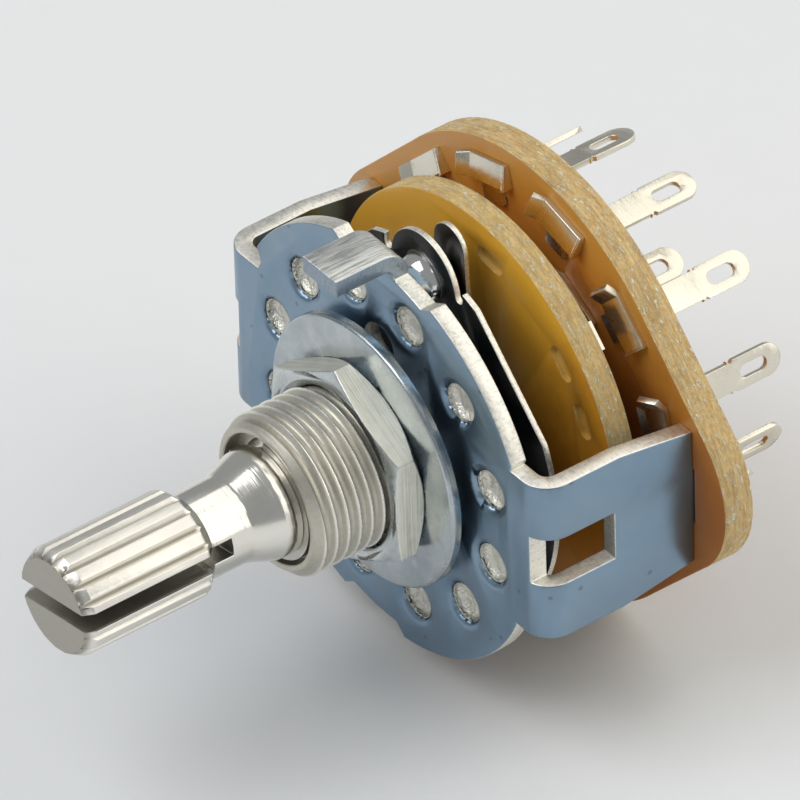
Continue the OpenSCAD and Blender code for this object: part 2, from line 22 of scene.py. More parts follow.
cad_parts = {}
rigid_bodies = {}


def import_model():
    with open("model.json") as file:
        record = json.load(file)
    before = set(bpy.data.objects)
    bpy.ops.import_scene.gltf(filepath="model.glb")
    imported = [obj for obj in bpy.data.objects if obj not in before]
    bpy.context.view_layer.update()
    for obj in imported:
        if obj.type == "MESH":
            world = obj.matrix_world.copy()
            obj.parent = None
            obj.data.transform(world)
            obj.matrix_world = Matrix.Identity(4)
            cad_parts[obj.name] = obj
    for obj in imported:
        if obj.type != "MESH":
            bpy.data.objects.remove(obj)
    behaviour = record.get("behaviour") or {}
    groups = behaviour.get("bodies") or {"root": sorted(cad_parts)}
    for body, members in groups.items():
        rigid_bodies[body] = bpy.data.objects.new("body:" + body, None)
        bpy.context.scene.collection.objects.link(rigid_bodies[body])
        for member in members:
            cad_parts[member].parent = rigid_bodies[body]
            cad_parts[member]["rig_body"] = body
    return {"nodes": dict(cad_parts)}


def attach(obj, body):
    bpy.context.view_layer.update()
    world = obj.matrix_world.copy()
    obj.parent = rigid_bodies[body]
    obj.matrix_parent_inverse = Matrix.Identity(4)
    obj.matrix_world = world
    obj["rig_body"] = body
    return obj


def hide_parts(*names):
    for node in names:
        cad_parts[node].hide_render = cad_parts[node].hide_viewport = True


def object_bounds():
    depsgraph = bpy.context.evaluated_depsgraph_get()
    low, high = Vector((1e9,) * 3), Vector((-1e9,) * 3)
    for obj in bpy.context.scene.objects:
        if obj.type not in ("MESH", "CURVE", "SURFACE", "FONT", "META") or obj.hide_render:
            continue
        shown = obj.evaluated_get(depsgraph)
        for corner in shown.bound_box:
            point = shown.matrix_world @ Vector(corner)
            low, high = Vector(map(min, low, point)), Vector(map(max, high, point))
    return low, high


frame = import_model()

MM = 0.001
cad_box = [list(corner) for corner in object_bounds()]
print("CAD box in mm:", [[round(value / MM, 2) for value in corner] for corner in cad_box])

# %% [markdown]
# ## The camera
# A long lens looks down on the switch from its front right, so that the shaft comes
# towards the viewer and the wafer's terminals point away. The lens is very long, since
# the object shows almost no perspective.

# %% The camera
camera_azimuth = math.radians(53.82)
camera_elevation = math.radians(38.94)
camera_roll = math.radians(-1.77)
camera_distance = 0.98961
camera_aim = Vector((-0.489, 1.561, 1.628)) * MM

back = Vector((
    math.sin(camera_azimuth) * math.cos(camera_elevation),
    -math.cos(camera_azimuth) * math.cos(camera_elevation),
    math.sin(camera_elevation),
))
level = Vector((0, 0, 1)).cross(back).normalized()
upright = back.cross(level)
right = level * math.cos(camera_roll) + upright * math.sin(camera_roll)
up = back.cross(right)

lens = bpy.data.cameras.new("camera")
lens.sensor_width = 36
lens.lens = 877.4
lens.clip_start = 0.1
camera = bpy.data.objects.new("camera", lens)
bpy.context.scene.collection.objects.link(camera)
stand = Matrix((right, up, back)).transposed().to_4x4()
stand.translation = camera_aim + back * camera_distance
camera.matrix_world = stand
bpy.context.scene.camera = camera
bpy.context.scene.view_settings.view_transform = "Standard"
print(f"Camera: {lens.lens:.0f} mm lens, {camera_distance:.2f} m away")

# %% [markdown]
# ## Light and floor
# One very large warm softbox stands behind the switch like a window, where every sheared
# edge and the tops of the splines mirror it. A softer one hangs over the front and fills
# the faces that look forward, and a small one at the right lights the arm's edges.
# Bare metal shows what is around it, so the surroundings are a quiet grey and the
# softboxes draw the bright streaks. The floor is pale and plain, and the switch lies on
# it on the rim of its wafer.

# %% Light and floor
def softbox(name, towards, distance, size, energy, colour):
    """An area light that hangs in a direction from the switch and faces it."""
    light = bpy.data.lights.new(name, "AREA")
    light.shape = "RECTANGLE"
    light.size, light.size_y = size
    light.energy = energy
    light.color = colour
    lamp = bpy.data.objects.new(name, light)
    bpy.context.scene.collection.objects.link(lamp)
    lamp.location = Vector(towards).normalized() * distance
    lamp.rotation_euler = (-lamp.location).to_track_quat("-Z", "Y").to_euler()


softbox("window_light", (0.16, 0.60, 0.58), 0.40, (0.74, 0.54), 1.40, (1.0, 0.97, 0.90))
softbox("overhead_light", (-0.22, -0.52, 0.82), 0.40, (0.30, 0.30), 0.80, (0.97, 0.98, 1.0))
softbox("side_light", (0.85, 0.44, 0.25), 0.45, (0.20, 0.22), 0.15, (1.0, 0.97, 0.90))

room = bpy.data.worlds.new("room")
bpy.context.scene.world = room
room.use_nodes = True
walls = room.node_tree
walls.nodes.clear()
seen = walls.nodes.new("ShaderNodeLightPath")
paper = walls.nodes.new("ShaderNodeBackground")
paper.inputs["Color"].default_value = (0.92, 0.93, 0.94, 1)
glow = walls.nodes.new("ShaderNodeBackground")
glow.inputs["Color"].default_value = (0.30, 0.31, 0.32, 1)
choice = walls.nodes.new("ShaderNodeMixShader")
world_out = walls.nodes.new("ShaderNodeOutputWorld")
walls.links.new(seen.outputs["Is Camera Ray"], choice.inputs[0])
walls.links.new(glow.outputs[0], choice.inputs[1])
walls.links.new(paper.outputs[0], choice.inputs[2])
walls.links.new(choice.outputs[0], world_out.inputs["Surface"])
print("Lights:", ", ".join(light.name for light in bpy.data.lights))

# %% [markdown]
# ## Shader sums
# A finish is written as sums of noise, position and masks. `Value` wraps one socket, so
# that such a sum is plain Python, and `Finish` holds one material with its shader.

# %% Shader sums
class Value:
    """A socket of a finish that Python's own + - * ** work on."""

    def __init__(self, finish, socket):
        self.finish = finish
        self.socket = socket

    def __add__(self, other):
        return self.finish.sum("ADD", self, other)

    def __radd__(self, other):
        return self.finish.sum("ADD", other, self)

    def __sub__(self, other):
        return self.finish.sum("SUBTRACT", self, other)

    def __rsub__(self, other):
        return self.finish.sum("SUBTRACT", other, self)

    def __mul__(self, other):
        return self.finish.sum("MULTIPLY", self, other)

    def __rmul__(self, other):
        return self.finish.sum("MULTIPLY", other, self)

    def __pow__(self, power):
        return self.finish.sum("POWER", self, power)


SOCKETS = {
    "roughness": "Roughness", "coat_weight": "Coat Weight", "specular": "Specular IOR Level",
}


class Finish:
    """One material: its Principled shader and the nodes that feed it."""

    def __init__(self, name, metallic=0.0, **constants):
        self.material = bpy.data.materials.new(name)
        self.material.use_nodes = True
        self.tree = self.material.node_tree
        self.tree.nodes.clear()
        self.shader = self.tree.nodes.new("ShaderNodeBsdfPrincipled")
        surface = self.tree.nodes.new("ShaderNodeOutputMaterial")
        self.tree.links.new(self.shader.outputs[0], surface.inputs["Surface"])
        self.shader.inputs["Metallic"].default_value = metallic
        for socket, number in constants.items():
            self.shader.inputs[SOCKETS[socket]].default_value = number
        self.place = self.node("ShaderNodeTexCoord", {}, {}, "Object")

    def feed(self, socket, term):
        if isinstance(term, Value):
            self.tree.links.new(term.socket, socket)
        elif hasattr(term, "__len__") and len(term) == 3 and len(socket.default_value) == 4:
            socket.default_value = (*term, 1)
        else:
            socket.default_value = term

    def node(self, kind, settings, inputs, output=0):
        """Adds a node: its kind, its settings, its inputs by name or number, its output."""
        node = self.tree.nodes.new(kind)
        for name, setting in settings.items():
            setattr(node, name, setting)
        for name, term in inputs.items():
            self.feed(node.inputs[name], term)
        return Value(self, node.outputs[output])

    def sum(self, operation, first, second):
        return self.node("ShaderNodeMath", {"operation": operation}, {0: first, 1: second})

    def at(self, x, y, z):
        """The surface's place, in so many steps of noise per millimetre along each axis."""
        stretch = (x / MM, y / MM, z / MM)
        return self.node("ShaderNodeVectorMath", {"operation": "MULTIPLY"},
                         {0: self.place, 1: stretch})

    def axes(self):
        """The surface's x, y and z in millimetres."""
        parts = self.tree.nodes.new("ShaderNodeSeparateXYZ")
        self.feed(parts.inputs[0], self.at(1, 1, 1))
        return [Value(self, output) for output in parts.outputs]

    def radius(self):
        """The distance from the shaft's axis in millimetres."""
        x, _, z = self.axes()
        return (x * x + z * z) ** 0.5

    def noise(self, where, detail=2.0, roughness=0.5, bend=0.0):
        return self.node("ShaderNodeTexNoise", {}, {
            "Vector": where, "Scale": 1.0, "Detail": detail, "Roughness": roughness,
            "Distortion": bend,
        })

    def specks(self, where):
        """The distance to the nearest of many scattered points."""
        return self.node("ShaderNodeTexVoronoi", {}, {
            "Vector": where, "Scale": 1.0, "Randomness": 1.0,
        })

    def step(self, value, low, high):
        """0 below low, 1 above high and smooth between them."""
        return self.node("ShaderNodeMapRange", {"interpolation_type": "SMOOTHSTEP"}, {
            "Value": value, "From Min": low, "From Max": high,
        })

    def mix(self, factor, first, second):
        return self.node("ShaderNodeMix", {"data_type": "RGBA"},
                         {0: factor, 6: first, 7: second}, 2)

    def paint(self, colour, roughness, height=None, relief=0.01):
        """Sends the sums to the shader. relief is the height's full range in millimetres."""
        self.feed(self.shader.inputs["Base Color"], colour)
        self.feed(self.shader.inputs["Roughness"], roughness)
        if height is not None:
            bump = self.node("ShaderNodeBump", {}, {"Distance": relief * MM, "Height": height},
                             "Normal")
            self.feed(self.shader.inputs["Normal"], bump)
        return self.material

# %% [markdown]
# ## Metals
# Most metal pieces here are plated, and the plating is only a few microns thick, so
# the marks of the tool show through it: rings on what was turned, lines along what was
# drawn, a fine rolled grain on sheet, and the torn band of a sheared edge. The balls
# are bare polished steel, and the spring leaves are tempered dark.

# %% Turned and cast metal
def turned_nickel():
    """The shaft: nickel over turned metal, ringed on its neck and combed on its splines, with
    painted shade in the spline grooves.
    """
    metal = Finish("turned_nickel", metallic=1.0)
    behind = metal.axes()[1]
    splined = metal.step(0 - behind, SPLINES_FROM - 0.15, SPLINES_FROM + 0.15)
    rings = metal.noise(metal.at(0.06, 7, 0.06), 2, 0.5)
    combed = metal.noise(metal.at(7, 0.35, 7), 3, 0.6)
    burrs = metal.noise(metal.at(2.2, 1.1, 2.2), 3, 0.6)
    marks = rings * (1 - splined) * 0.5 + (combed * 0.5 + burrs) * splined
    cloud = metal.noise(metal.at(0.5, 0.5, 0.5))
    bright = metal.mix(cloud, (0.80, 0.78, 0.73), (0.90, 0.87, 0.79))
    # Painted shade: the grooves between the splines are coloured towards a dark brown-grey, as
    # shade would fall in them.
    painted_groove_shade = splined * (1 - metal.step(metal.radius(), SPLINE_ROOT_R, SPLINE_ROOT_R + 0.2))
    colour = metal.mix(painted_groove_shade * 0.75, bright, (0.30, 0.28, 0.23))
    rough = 0.16 + cloud * 0.10 + splined * (0.12 + burrs * 0.14)
    return metal.paint(colour, rough, marks, 0.03)


def cast_zinc():
    """The bushing: die-cast and plated, its thread's crests painted bright as a highlight."""
    metal = Finish("cast_zinc", metallic=1.0)
    crest = metal.step(metal.radius(), THREAD_R - 0.16, THREAD_R - 0.02)
    wound = metal.noise(metal.at(0.25, 9, 0.25), 3, 0.6)
    grain = metal.noise(metal.at(4, 4, 4), 3, 0.6)
    dull = metal.mix(grain, (0.50, 0.475, 0.40), (0.68, 0.655, 0.57))
    # Painted highlight: the thread's crests are coloured a near-white cream, as if they caught
    # the light.
    colour = metal.mix(crest, dull, (0.93, 0.91, 0.84))
    rough = 0.38 - crest * 0.16 + grain * 0.10
    return metal.paint(colour, rough, wound * 0.7 + grain * 0.6, 0.025)


def drawn_plating(name, dark, light, rough, relief):
    """Nut and washer: plating over fine lines drawn round the piece, between two given tones;
    the callers paint highlight and reflection into these tones.
    """
    metal = Finish(name, metallic=1.0)
    lines = metal.noise(metal.at(0.16, 7, 0.16), 4, 0.75)
    scuffs = metal.noise(metal.at(1.3, 1.3, 1.3), 4, 0.6)
    colour = metal.mix(metal.step(lines * 0.7 + scuffs * 0.3, 0.30, 0.62), dark, light)
    return metal.paint(colour, rough + scuffs * 0.12, lines + scuffs * 0.25, relief)


def spring_wire():
    """The snap rings and the spacer: grey, drawn and barely polished."""
    metal = Finish("spring_wire", metallic=1.0)
    grain = metal.noise(metal.at(5, 5, 5), 3, 0.6)
    colour = metal.mix(grain, (0.48, 0.46, 0.41), (0.68, 0.66, 0.60))
    return metal.paint(colour, 0.26 + grain * 0.14, grain, 0.01)


def ball_steel():
    """The detent balls: hardened, polished, with the faint track of the bumps."""
    metal = Finish("ball_steel", metallic=1.0)
    track = metal.noise(metal.at(0.8, 2.5, 0.8), 3, 0.6)
    colour = metal.mix(track, (0.74, 0.72, 0.70), (0.86, 0.85, 0.83))
    return metal.paint(colour, 0.06 + track * 0.08, track, 0.004)


# %% Sheet metal
def rolled_zinc():
    """The front plate's faces: satin zinc with small pits. Bright zinc is a plain grey,
    and the blue-grey tone stands in for blue surroundings that it would mirror."""
    metal = Finish("rolled_zinc", metallic=1.0)
    cloud = metal.noise(metal.at(0.22, 0.22, 0.22), 3, 0.55)
    grain = metal.noise(metal.at(9, 9, 9), 3, 0.6)
    scuffs = metal.noise(metal.at(1.1, 1.1, 1.1), 5, 0.65, 0.4)
    pits = 1 - metal.step(metal.specks(metal.at(0.55, 0.55, 0.55)), 0.05, 0.10)
    cool = metal.mix(cloud, (0.19, 0.29, 0.40), (0.30, 0.40, 0.49))
    colour = metal.mix(pits * 0.5, cool, (0.12, 0.13, 0.14))
    rough = 0.24 + scuffs * 0.18
    return metal.paint(colour, rough, grain * 0.35 + scuffs * 0.5 - pits * 0.8, 0.012)


def sheared_edge(name, ticks, light):
    """A stamped edge: ticks that run through the sheet, and a grainy torn band."""
    metal = Finish(name, metallic=1.0)
    torn = metal.noise(metal.at(*ticks), 3, 0.7)
    grain = metal.noise(metal.at(5, 5, 5), 3, 0.65)
    tone = metal.step(torn * 0.5 + grain * 0.5, 0.34, 0.56)
    colour = metal.mix(tone, tuple(0.74 * part for part in light), light)
    return metal.paint(colour, 0.36 + grain * 0.16, torn * 0.5 + grain, 0.028)


def brushed_lug():
    """The lug's outer face: the plate's zinc, dragged bright and streaky by the former."""
    metal = Finish("brushed_lug", metallic=1.0)
    drag = metal.noise(metal.at(5.5, 0.35, 0.8), 4, 0.75)
    grain = metal.noise(metal.at(6, 6, 6), 3, 0.6)
    streaks = metal.step(drag, 0.34, 0.62)
    colour = metal.mix(streaks, (0.36, 0.37, 0.37), (0.78, 0.79, 0.76))
    return metal.paint(colour, 0.32 + grain * 0.14, drag + grain * 0.3, 0.05)


def hammered_pocket():
    """The pockets' walls and floors and the bumps behind them, beaten into dents, and coloured
    a bright cream that is a painted highlight.
    """
    metal = Finish("hammered_pocket", metallic=1.0)
    dents = metal.noise(metal.at(2.2, 2.2, 2.2), 3, 0.6, 0.6)
    grain = metal.noise(metal.at(8, 8, 8), 2, 0.5)
    # Painted highlight: the beaten dents are coloured up to a near-white cream, as if they
    # caught the light.
    colour = metal.mix(dents, (0.68, 0.68, 0.62), (0.99, 0.97, 0.88))
    return metal.paint(colour, 0.32 + dents * 0.14, dents + grain * 0.25, 0.20)


def blued_steel():
    """The faces of the two spring leaves: tempered dark, with a slate sheen."""
    metal = Finish("blued_steel", metallic=1.0)
    cloud = metal.noise(metal.at(0.35, 0.35, 0.35), 3, 0.6)
    grain = metal.noise(metal.at(8, 8, 8), 2, 0.5)
    colour = metal.mix(cloud, (0.085, 0.085, 0.088), (0.20, 0.195, 0.19))
    return metal.paint(colour, 0.24 + cloud * 0.16, grain, 0.006)


def tinned_brass():
    """Terminals and contacts: a soft bright tin over brass, with drag marks of the die."""
    metal = Finish("tinned_brass", metallic=1.0)
    drag = metal.noise(metal.at(1.2, 5, 1.2), 4, 0.65)
    cloud = metal.noise(metal.at(0.6, 0.6, 0.6), 3, 0.6)
    thin = metal.step(metal.noise(metal.at(1.6, 1.6, 1.6), 4, 0.7), 0.58, 0.78)
    bright = metal.mix(cloud, (0.70, 0.66, 0.55), (0.86, 0.82, 0.71))
    colour = metal.mix(thin * 0.35, bright, (0.70, 0.58, 0.35))
    return metal.paint(colour, 0.20 + cloud * 0.16, drag * 0.6 + cloud, 0.03)


# %% [markdown]
# ## Phenolic paper
# Rotor and wafer are punched from laminated paper soaked in phenolic resin. The faces
# are smooth and cloudy, amber on the rotor and brown on the wafer. The punched rims show
# the torn paper: pale straw fibres in thin layers that lie parallel to the faces.

# %% Phenolic paper
def phenolic_face(name, deep, warm, relief):
    board = Finish(name, roughness=0.35, specular=0.35, coat_weight=0.08)
    x, _, z = board.axes()
    cloud = board.noise(board.at(0.13, 0.13, 0.13), 3, 0.55, 0.5)
    mottle = board.noise(board.at(1.1, 1.1, 1.1), 4, 0.6)
    fibres = board.noise(board.at(3.5, 3.5, 0.8), 3, 0.6)
    # Painted light and shade: the faces are coloured lighter towards the top (and a little
    # towards -x) and darker towards the bottom, as light from above would fall.
    painted_light_from_above = board.step(z - x * 0.3, -6, 10)
    tone = board.step(cloud * 0.45 + mottle * 0.15 + painted_light_from_above * 0.4, 0.28, 0.76)
    colour = board.mix(tone, deep, warm)
    return board.paint(colour, 0.30 + mottle * 0.16, mottle * 0.7 + fibres * 0.3, relief)


def phenolic_rim(name, straw, shade):
    board = Finish(name, roughness=0.7)
    layers = board.noise(board.at(0.6, 8, 0.6), 3, 0.7)
    fibres = board.noise(board.at(2.4, 5.5, 2.4), 4, 0.75)
    flecks = board.step(board.noise(board.at(1.9, 5, 1.9), 4, 0.75), 0.53, 0.64)
    stains = board.step(board.noise(board.at(0.5, 1.6, 0.5), 3, 0.6), 0.45, 0.70)
    body = board.mix(board.step(layers * 0.5 + fibres * 0.5, 0.35, 0.65), shade, straw)
    stained = board.mix(stains * 0.35, body, tuple(0.55 * part for part in shade))
    colour = board.mix(flecks * 0.9, stained, (0.98, 0.91, 0.68))
    return board.paint(colour, 0.50 + fibres * 0.2, layers * 0.5 + fibres + flecks * 0.3, 0.15)


# %% [markdown]
# ## Broken edges
# `soften` copies a CAD piece, welds and flattens its mesh, and rounds every sharp edge
# a little. Where a tool pressed the sheet in, as at the pockets, the edge is rounder.
# `coat` then gives each facet its finish by where it is and which way it faces.

# %% Broken edges
WELD = 0.0002 * MM
FLAT_WITHIN = math.radians(0.5)


def soften(node, width, rounder=None, rows=2, sharp=25):
    """A copy of a CAD piece with its sharp edges rounded by width, in millimetres.
    rounder(middle of an edge in millimetres) says how much more, or 1 for no more, and
    sharp is the least angle in degrees that counts as an edge."""
    mesh = bmesh.new()
    mesh.from_mesh(frame["nodes"][node].data)
    bmesh.ops.remove_doubles(mesh, verts=mesh.verts, dist=WELD)
    bmesh.ops.dissolve_limit(mesh, angle_limit=FLAT_WITHIN, verts=mesh.verts,
                             edges=mesh.edges, delimit={"NORMAL"})
    most = 1
    weights = mesh.edges.layers.float.new("bevel_weight_edge")
    for edge in mesh.edges:
        if edge.calc_face_angle(0) > math.radians(sharp):
            middle = (edge.verts[0].co + edge.verts[1].co) / 2 / MM
            edge[weights] = rounder(middle) if rounder else 1
            most = max(most, edge[weights])
    for edge in mesh.edges:
        edge[weights] /= most
    for face in mesh.faces:
        face.smooth = True
    data = bpy.data.meshes.new(node + "_finished")
    mesh.to_mesh(data)
    mesh.free()
    piece = bpy.data.objects.new(node + "_finished", data)
    bpy.context.scene.collection.objects.link(piece)
    bevel = piece.modifiers.new("broken_edges", "BEVEL")
    bevel.limit_method = "WEIGHT"
    bevel.width = width * most * MM
    bevel.segments = rows
    bevel.use_clamp_overlap = False
    bevel.harden_normals = True
    bevel.loop_slide = True
    settle(piece)
    stand_in(piece, node)
    return piece


def settle(piece):
    """Turns a piece's modifiers into plain mesh."""
    graph = bpy.context.evaluated_depsgraph_get()
    shaped = bpy.data.meshes.new_from_object(piece.evaluated_get(graph))
    piece.modifiers.clear()
    piece.data = shaped
    shaped.materials.clear()


def stand_in(piece, node):
    """Lets a piece take a CAD node's place on the body that the node rides on."""
    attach(piece, frame["nodes"][node]["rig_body"])
    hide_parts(node)
    print(f"{piece.name}: {len(piece.data.polygons)} faces")


def coat(piece, finishes, choose=None):
    """Assigns finishes. choose(place in millimetres, normal) picks one for each facet."""
    for finish in finishes:
        piece.data.materials.append(finish)
    if choose is None:
        return
    for facet in piece.data.polygons:
        facet.material_index = choose(facet.center / MM, facet.normal)


# %% [markdown]
# ## The bushing and its thread
# The CAD bushing is a plain cylinder over its crests. Here the M9 fine thread is wound
# as it is cut: the same crest and root follow one helix from the shoulder to the
# chamfered front. Inside the nut the crests stay under the nut's own bore. Everything
# behind the thread and inside the mouth is turned from one profile and welded on. The
# stop lug on the staked rim is a small block of its own, set a hair into the rim.

# %% Turning and winding
# Sizes are in millimetres, angles in radians and MERGE in metres. Distances ahead count
# from the plate's front face, and THREAD_TURN is a share of one turn.
SHEET_T = 1.0
BREAK = 0.06
SHOULDER_R = 5.0
PLATE_BORE_R = 4.0
RIM_R, RIM_BACK = 4.7, 1.4
BORE_R = 3.05
MOUTH_R, MOUTH_FROM = 3.65, 6.5
BUSHING_END = 7.40
STOP_INNER_R = 3.55
STOP_FRONT, STOP_REAR = -1.38, -2.6
STOP_SPREAD = math.radians(7)
STOP_STEPS = 4
THREAD_R = 4.5
THREAD_ROOT_R = 4.14
THREAD_PITCH = 0.75
THREAD_FROM = 0.7
THREAD_END = 7.36
THREAD_END_R = 3.98
THREAD_TURN = 0.30
THREAD_RUN_OUT = 0.4
THREAD_END_SLOPE = 1.1
NUT_FROM, NUT_TO = 1.3, 3.1
NUT_BORE_R = 4.25
HELD_FROM, HELD_TO = NUT_FROM - 0.05, NUT_TO - 0.3
SPLINES_FROM = 13.0
SPLINE_ROOT_R = 2.7
AROUND = 168
SHARP_FROM = math.radians(38)
MERGE = 0.0005 * MM


def ring_point(radius, angle, ahead):
    """A point at a radius and angle about the shaft, so far ahead of the plate."""
    return Vector((radius * math.cos(angle), -ahead, radius * math.sin(angle))) * MM


def turned(mesh, profile):
    """Turns a profile of (radius, distance ahead) round the shaft's axis."""
    rows = [[mesh.verts.new(ring_point(radius, math.tau * k / AROUND, ahead))
             for k in range(AROUND)] for radius, ahead in profile]
    for inner, outer in zip(rows, rows[1:]):
        for k in range(AROUND):
            after = (k + 1) % AROUND
            mesh.faces.new((inner[k], inner[after], outer[after], outer[k]))


def wound(mesh):
    """Winds the thread: each row is one line of the thread's form along the helix."""
    crest, root = THREAD_R, THREAD_ROOT_R
    # One pitch of the thread: a narrow crest, a flank, a wide root and a flank.
    form = [crest - 0.02, crest, crest, crest - 0.02, root + 0.04, root, root, root + 0.04]
    steps = [0, 0.02, 0.09, 0.11, 0.30, 0.38, 0.72, 0.80]
    turns = math.ceil((THREAD_END - THREAD_FROM) / THREAD_PITCH) + 2

    def point(row, k):
        turn, part = divmod(row, len(form))
        ahead = THREAD_FROM + THREAD_PITCH * (turn - 1 + steps[part] + k / AROUND)
        ahead += THREAD_PITCH * THREAD_TURN
        held = min(max(ahead, THREAD_FROM), THREAD_END)
        rise = min(max((held - THREAD_FROM) / THREAD_RUN_OUT, 0), 1)
        radius = root + (form[part] - root) * rise
        if HELD_FROM < held < HELD_TO:
            radius = min(radius, NUT_BORE_R)
        radius = min(radius, THREAD_END_R + (THREAD_END - held) * THREAD_END_SLOPE)
        return ring_point(radius, math.tau * k / AROUND, held)

    rows = [[mesh.verts.new(point(row, k)) for k in range(AROUND)]
            for row in range(-len(form), turns * len(form))]
    for index in range(len(rows) - 1):
        for k in range(AROUND - 1):
            mesh.faces.new((rows[index][k], rows[index][k + 1],
                            rows[index + 1][k + 1], rows[index + 1][k]))
    for index in range(len(rows) - 1 - len(form)):
        ahead = index + len(form)
        mesh.faces.new((rows[index][-1], rows[ahead][0], rows[ahead + 1][0],
                        rows[index + 1][-1]))


def finish_mesh(mesh, name):
    """Welds a mesh, turns its facets outward and shades them smooth between edges."""
    bmesh.ops.remove_doubles(mesh, verts=mesh.verts, dist=MERGE)
    bmesh.ops.dissolve_degenerate(mesh, edges=mesh.edges, dist=MERGE)
    bmesh.ops.delete(mesh, geom=[vert for vert in mesh.verts if not vert.link_faces],
                     context="VERTS")
    bmesh.ops.recalc_face_normals(mesh, faces=mesh.faces)
    data = bpy.data.meshes.new(name)
    mesh.to_mesh(data)
    loose = sum(not edge.is_manifold for edge in mesh.edges)
    mesh.free()
    data.shade_smooth()
    data.set_sharp_from_angle(angle=SHARP_FROM)
    piece = bpy.data.objects.new(name, data)
    bpy.context.scene.collection.objects.link(piece)
    print(f"{name}: {len(data.polygons)} facets, {loose} open edges")
    return piece


# %% The bushing
def make_bushing():
    """The threaded bushing with its shoulder, root, staked rim, mouth and stop."""
    mesh = bmesh.new()
    wound(mesh)
    turned(mesh, [
        (THREAD_ROOT_R, THREAD_FROM), (SHOULDER_R - BREAK, THREAD_FROM),
        (SHOULDER_R, THREAD_FROM - BREAK), (SHOULDER_R, 0),
        (PLATE_BORE_R, 0), (PLATE_BORE_R, -SHEET_T),
        (RIM_R - BREAK, -SHEET_T), (RIM_R, -SHEET_T - BREAK),
        (RIM_R, 0.1 - RIM_BACK), (RIM_R - 0.1, -RIM_BACK),
        (BORE_R + 0.1, -RIM_BACK), (BORE_R, 0.1 - RIM_BACK),
        (BORE_R, MOUTH_FROM), (MOUTH_R, MOUTH_FROM), (MOUTH_R, BUSHING_END - 0.07),
        (MOUTH_R + 0.05, BUSHING_END - 0.01), (MOUTH_R + 0.11, BUSHING_END),
        (THREAD_END_R - 0.10, BUSHING_END), (THREAD_END_R - 0.04, BUSHING_END - 0.01),
        (THREAD_END_R, THREAD_END),
    ])
    piece = finish_mesh(mesh, "threaded_bushing")
    lug = bmesh.new()
    lug.from_mesh(piece.data)
    outward = range(-STOP_STEPS, STOP_STEPS + 1)
    corners = [(radius, math.pi / 2 + STOP_SPREAD * part / STOP_STEPS)
               for radius, order in ((STOP_INNER_R, outward), (RIM_R, reversed(outward)))
               for part in order]
    ends = [[lug.verts.new(ring_point(radius, angle, ahead)) for radius, angle in corners]
            for ahead in (STOP_FRONT, STOP_REAR)]
    lug.faces.new(ends[0])
    lug.faces.new(list(reversed(ends[1])))
    for k in range(len(corners)):
        after = (k + 1) % len(corners)
        lug.faces.new((ends[0][k], ends[1][k], ends[1][after], ends[0][after]))
    bmesh.ops.recalc_face_normals(lug, faces=lug.faces)
    lug.to_mesh(piece.data)
    lug.free()
    piece.data.set_sharp_from_angle(angle=SHARP_FROM)
    stand_in(piece, "bushing")
    coat(piece, [cast_zinc()])


make_bushing()

# %% [markdown]
# ## Shaft, nut and washer
# The shaft is turned from bar, splined with eighteen teeth and split with a saw so that
# a knob can squeeze on. The nut is stamped and chamfered on both faces, and the washer
# is a plain stamped disc whose front edge is rounded by tumbling.

# %% Shaft, nut and washer
# Painted light: the nut's flats are coloured bright cream as a painted highlight, and its front
# and back blue-grey as a painted reflection of blue surroundings.
nut_plating = drawn_plating("nut_plating", (0.74, 0.71, 0.58), (0.99, 0.97, 0.86), 0.40, 0.04)
nut_faces_painted_reflection = drawn_plating("nut_faces_painted_reflection", (0.42, 0.46, 0.48), (0.66, 0.69, 0.69), 0.22, 0.015)
# Painted reflection: the washer's blue-grey tone stands in for blue surroundings that its faces
# would mirror.
washer_plating = drawn_plating("washer_plating", (0.36, 0.41, 0.44), (0.56, 0.60, 0.62),
                               0.20, 0.015)
NUT_FACING = 0.4


def nut_finish(place, normal):
    """The six flats get a bright cream that is a painted highlight, the front and back a
    blue-grey that is a painted reflection.
    """
    return 1 if abs(normal.y) > NUT_FACING else 0


coat(soften("shaft", 0.04, sharp=12), [turned_nickel()])
coat(soften("hex_nut", 0.06, rows=3), [nut_plating, nut_faces_painted_reflection], nut_finish)
coat(soften("washer", 0.07, rows=3), [washer_plating])

# %% [markdown]
# ## The front plate
# One stamping of 1 mm zinc-plated sheet: a disc with four lobes, two arms that bend back
# and hold the wafer, and a lug that bends forward to stop the switch from turning in
# its panel. The punch left bright torn edges and beat twelve deep pockets, each of which
# raises a bump on the plate's back for the balls to click between.

# %% The front plate
POCKETS = 12
POCKET_RING_R = 9.2
POCKET_R = 1.2
ARM_FROM = 11.9
ARM_HALF_W = 5.3
WINDOW_FROM = 12.2
WINDOW_HALF_W = 1.5
LUG_FROM = 11.6
LUG_HALF_W = 1.4
LUG_TIP_FROM = -2
POCKET_FROM = 0.3
NEAR = 0.1
FACING, SQUARELY = 0.6, 0.7


def pocket_distance(place):
    """The distance from a place to the axis of the nearest pocket, in millimetres."""
    step = math.tau / POCKETS
    angle = math.atan2(place.z, place.x)
    nearest = (math.floor(angle / step) + 0.5) * step
    return math.hypot(place.x - POCKET_RING_R * math.cos(nearest),
                      place.z - POCKET_RING_R * math.sin(nearest))


def plate_roundness(place):
    """The punch pressed the pockets with a wide lip and a round floor. The outline and
    the window are sheared crisp."""
    if pocket_distance(place) > POCKET_R + NEAR or abs(place.x) > ARM_FROM:
        return 1
    if place.y < NEAR:
        return 5
    return 3 if place.y < SHEET_T - NEAR else 2


